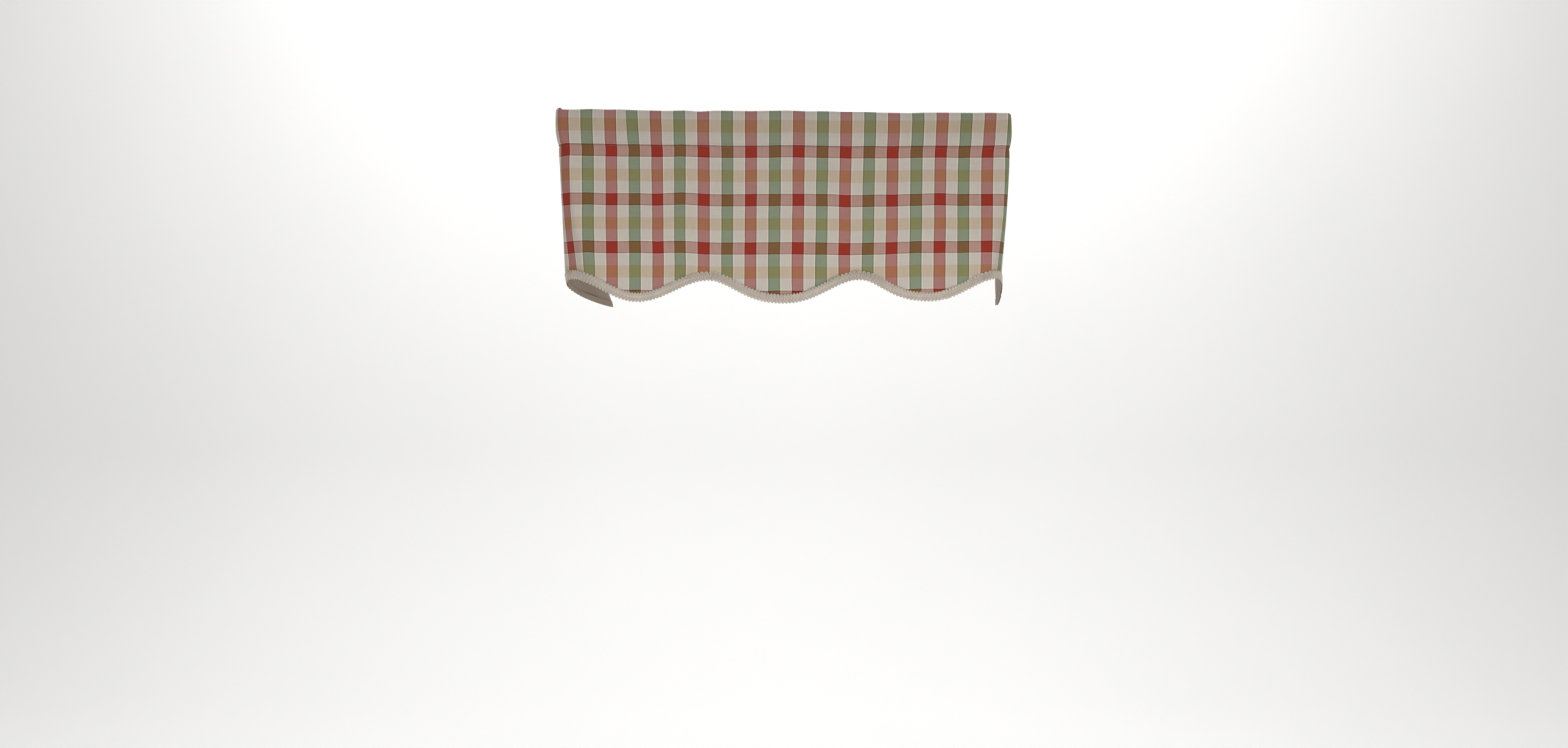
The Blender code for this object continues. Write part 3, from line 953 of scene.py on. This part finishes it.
def looped_gimp():
    """Two cords that wind up and down a ribbon, and two threads along it."""
    shaping = Shaping("looped_gimp", ["Length", *GIMP])
    length, width, loop, cord, apart, roundness = (
        shaping.size(name)
        for name in ("Length", "Width", "Loop", "Cord radius", "Cord apart", "Roundness"))

    def named(name):
        return shaping.add("GeometryNodeInputNamedAttribute", VECTORS, {"Name": name})

    strip = named("strip")
    place = shaping.add("GeometryNodeInputPosition")
    facing = shaping.add("GeometryNodeInputNormal")
    line = shaping.add("GeometryNodeCurvePrimitiveLine")
    loops = length / loop

    def sampled(what, at):
        return shaping.add(
            "GeometryNodeSampleUVSurface", VECTORS,
            {"Mesh": shaping.source, "Value": what, "UV Map": strip, "Sample UV": at})

    def stored(geometry, name, amount, kind="FLOAT"):
        return shaping.add(
            "GeometryNodeStoreNamedAttribute", {"data_type": kind},
            {"Geometry": geometry, "Name": name, "Value": amount})

    def laid(points, along, above, height):
        """A line of points laid on the ribbon, as (metres along, metres above its middle, height)."""
        share = (along / length).math("MAXIMUM", 0.0).math("MINIMUM", 1.0)
        at = shaping.vector(share, above / width + 0.5)
        out = sampled(facing, at)
        position = shaping.add(
            "ShaderNodeVectorMath", {"operation": "ADD"},
            {0: sampled(place, at), 1: shaping.scaled(out, height)})
        curve = shaping.add("GeometryNodeResampleCurve", None, {"Curve": line, "Count": points})
        marked = stored(curve, "outward", out, "FLOAT_VECTOR")
        return shaping.add(
            "GeometryNodeSetPosition", None, {"Geometry": marked, "Position": position})

    def swept(curve, radius, sides):
        """A tube of a radius along a curve, which knows how far its outside faces out."""
        ring = shaping.add(
            "GeometryNodeCurvePrimitiveCircle", None, {"Resolution": sides, "Radius": radius})
        along = shaping.add("GeometryNodeSplineParameter", None, None, "Length")
        tube = shaping.add(
            "GeometryNodeCurveToMesh", None,
            {"Curve": stored(curve, "along", along), "Profile Curve": ring, "Fill Caps": True})
        crest = shaping.add(
            "ShaderNodeVectorMath", {"operation": "DOT_PRODUCT"},
            {0: facing, 1: named("outward")}, "Value")
        return stored(tube, "crest", crest)

    def wander(rate, seed, detail=0.0):
        return shaping.noise(shaping.vector(turns * rate, seed), detail)

    turns = shaping.add("GeometryNodeSplineParameter", None, None, "Factor") * loops
    lean = (wander(0.35, 2.0, 1.0) - 0.5) * 0.15
    reach = (width / 2 - apart - cord) * (1.03 + (wander(1.7, 9.0) - 0.5) * 0.14)
    wave, half_wave = turns * (2 * math.tau), turns * math.tau
    above = reach * half_wave.math("SINE")
    along = loop * (turns - roundness * wave.math("SINE") / (2 * math.tau)) + above * lean
    step_along = loop * (1 - roundness * wave.math("COSINE"))
    step_above = reach * math.tau * half_wave.math("COSINE")
    step = (step_along * step_along + step_above * step_above).math("SQRT")
    turning = shaping.step(abs(half_wave.math("SINE")), 0.75, 1.0)
    parts = []
    for side, seed in ((-1, 4.0), (1, 5.0)):
        lift = wander(3.1, seed) * 0.0005
        offset = apart * side / step
        laid_cord = laid(
            loops * shaping.size("Points per loop"), along - step_above * offset,
            above + step_along * offset, cord * 0.75 + lift)
        laid_cord = stored(laid_cord, "turning", turning)
        parts.append(swept(laid_cord, cord, 6))
    for side, seed in ((-1, 6.0), (1, 7.0)):
        off_line = (wander(0.8, seed) - 0.5) * 0.0008
        sag = (turns * (4 * math.tau)).math("COSINE") * 0.0002
        laid_binder = laid(
            loops * 8, turns * loop, shaping.size("Binder at") * side + off_line, cord * 1.85 + sag)
        parts.append(swept(laid_binder, shaping.size("Binder radius"), 4))
    shaping.end(*parts)
    return shaping


def gimp_cord(name):
    """Cotton yarn wrapped in close rings round a core, with painted highlights on its crests and at
    the loops' turns and painted shade in its hollows.
    """
    finish = Finish(name)
    place = finish.place()
    along, crest, turning = (finish.attribute(name) for name in ("along", "crest", "turning"))
    fibres = finish.noise(finish.scaled(place, 1700.0))
    patches = finish.noise(finish.scaled(place, 60.0))
    rings = (along * (math.tau / RING) + fibres * 1.4).math("SINE") * 0.5 + 0.5
    # Painted shade in the hollows, and painted highlights on the crests and at the loops' turns
    hollow_shade = finish.mix(patches * 0.6 + fibres * 0.4, *HOLLOW_SHADE)
    crest_lit = finish.mix(patches * 0.5 + fibres * 0.2 + rings * 0.2 + turning * 0.4, *CREST_LIGHT)
    colour = finish.mix(finish.step(crest + (fibres - 0.5) * 0.3, 0.20, 0.94), hollow_shade, crest_lit)
    height = rings + fibres * 0.6
    return finish.surface(colour, 0.66 + (patches - 0.5) * 0.16, height, depth=0.00014, sheen=0.12)


def joined(name, pieces, material):
    """Several pieces of one material as one."""
    bm = bmesh.new()
    for piece in pieces:
        bm.from_mesh(piece.data)
        bpy.data.objects.remove(piece)
    mesh = mesh_of(name, bm)
    mesh.materials.append(material)
    return placed(name, mesh)


def make_braid():
    gimp, cord = looped_gimp(), gimp_cord("gimp_braid")
    lengths = []
    for start, end, rise in (
        (-HALF_WIDTH + 0.001, JOIN_AT + JOIN_LAP, 0), (JOIN_AT, HALF_WIDTH - 0.001, JOIN_RISE)):
        def raised(across, rise=rise):
            return rise * (1 - ramp(across, JOIN_AT + JOIN_LAP, 0.020))
        surface, length = ribbon("gimp_ribbon", start, end, raised)
        lengths.append(shaped("gimp_length", surface, gimp, {"Length": length, **GIMP}, cord))
    return joined("gimp_braid", lengths, cord)


braid = make_braid()
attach(braid, "root")
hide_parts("braid")


# --------------------------------------- Stage
# A plain pale studio: one seamless sheet is the floor and curves up behind. The light is soft. It
# comes from all round, with one lamp above and one below in front, and one on the sheet behind.

FLOOR = -1.90
BACKDROP = 3.60
SHEET_HALF, SHEET_TOP = 25.0, 14.0
PAPER = (0.86, 0.86, 0.86, 1), (0.90, 0.90, 0.895, 1)


def pale_paper():
    finish = Finish("pale_paper")
    tone = finish.noise(finish.place(), detail=3.0)
    colour = finish.mix(tone, *PAPER)
    return finish.surface(colour, 0.9 + (tone - 0.5) * 0.05, tone, depth=0.0005, sheen=0.0)


def make_stage():
    turn = np.linspace(0, math.pi / 2, 24)
    bend = [(BACKDROP - 1 + math.sin(a), FLOOR + 1 - math.cos(a)) for a in turn]
    line = [(-SHEET_HALF, FLOOR)] + bend + [(BACKDROP, SHEET_TOP)]
    bm = bmesh.new()
    sides = [[bm.verts.new((x, y, z)) for y, z in line] for x in (-SHEET_HALF, SHEET_HALF)]
    for i in range(len(line) - 1):
        bm.faces.new((sides[0][i], sides[1][i], sides[1][i + 1], sides[0][i + 1]))
    mesh = mesh_of("studio_sweep", bm)
    mesh.shade_smooth()
    mesh.materials.append(pale_paper())
    sweep = placed("studio_sweep", mesh)


def soft_light(name, place, aim, size, power):
    lamp = bpy.data.lights.new(name, "AREA")
    lamp.shape = "RECTANGLE"
    lamp.size, lamp.size_y = size
    lamp.energy = power
    light = placed(name, lamp)
    light.location = place
    light.rotation_euler = (Vector(aim) - Vector(place)).to_track_quat("-Z", "Y").to_euler()
    light.visible_camera = False


make_stage()
soft_light("key_light", (-0.20, -2.10, 0.80), (0.0, 0.0, -0.25), (2.2, 1.0), 5.5)
soft_light("fill_light", (0.24, -1.10, -1.10), (0.0, 0.0, -0.30), (2.4, 0.8), 11.0)
soft_light("sweep_light", (0.0, 1.20, 2.60), (0.0, 3.2, -0.4), (5.0, 1.0), 130)

world = bpy.data.worlds.new("studio")
world.use_nodes = True
background = world.node_tree.nodes["Background"].inputs
background["Color"].default_value = (1.0, 0.99, 0.98, 1)
background["Strength"].default_value = 0.49
bpy.context.scene.world = world
bpy.context.scene.view_settings.view_transform = "Standard"

lens = bpy.data.cameras.new("camera")
lens.lens = 34.34
lens.sensor_width = 36
camera = placed("camera", lens)
camera.location = (0, -3.2071, -0.5627)
camera.rotation_euler = (math.pi / 2, 0, 0)
bpy.context.scene.camera = camera
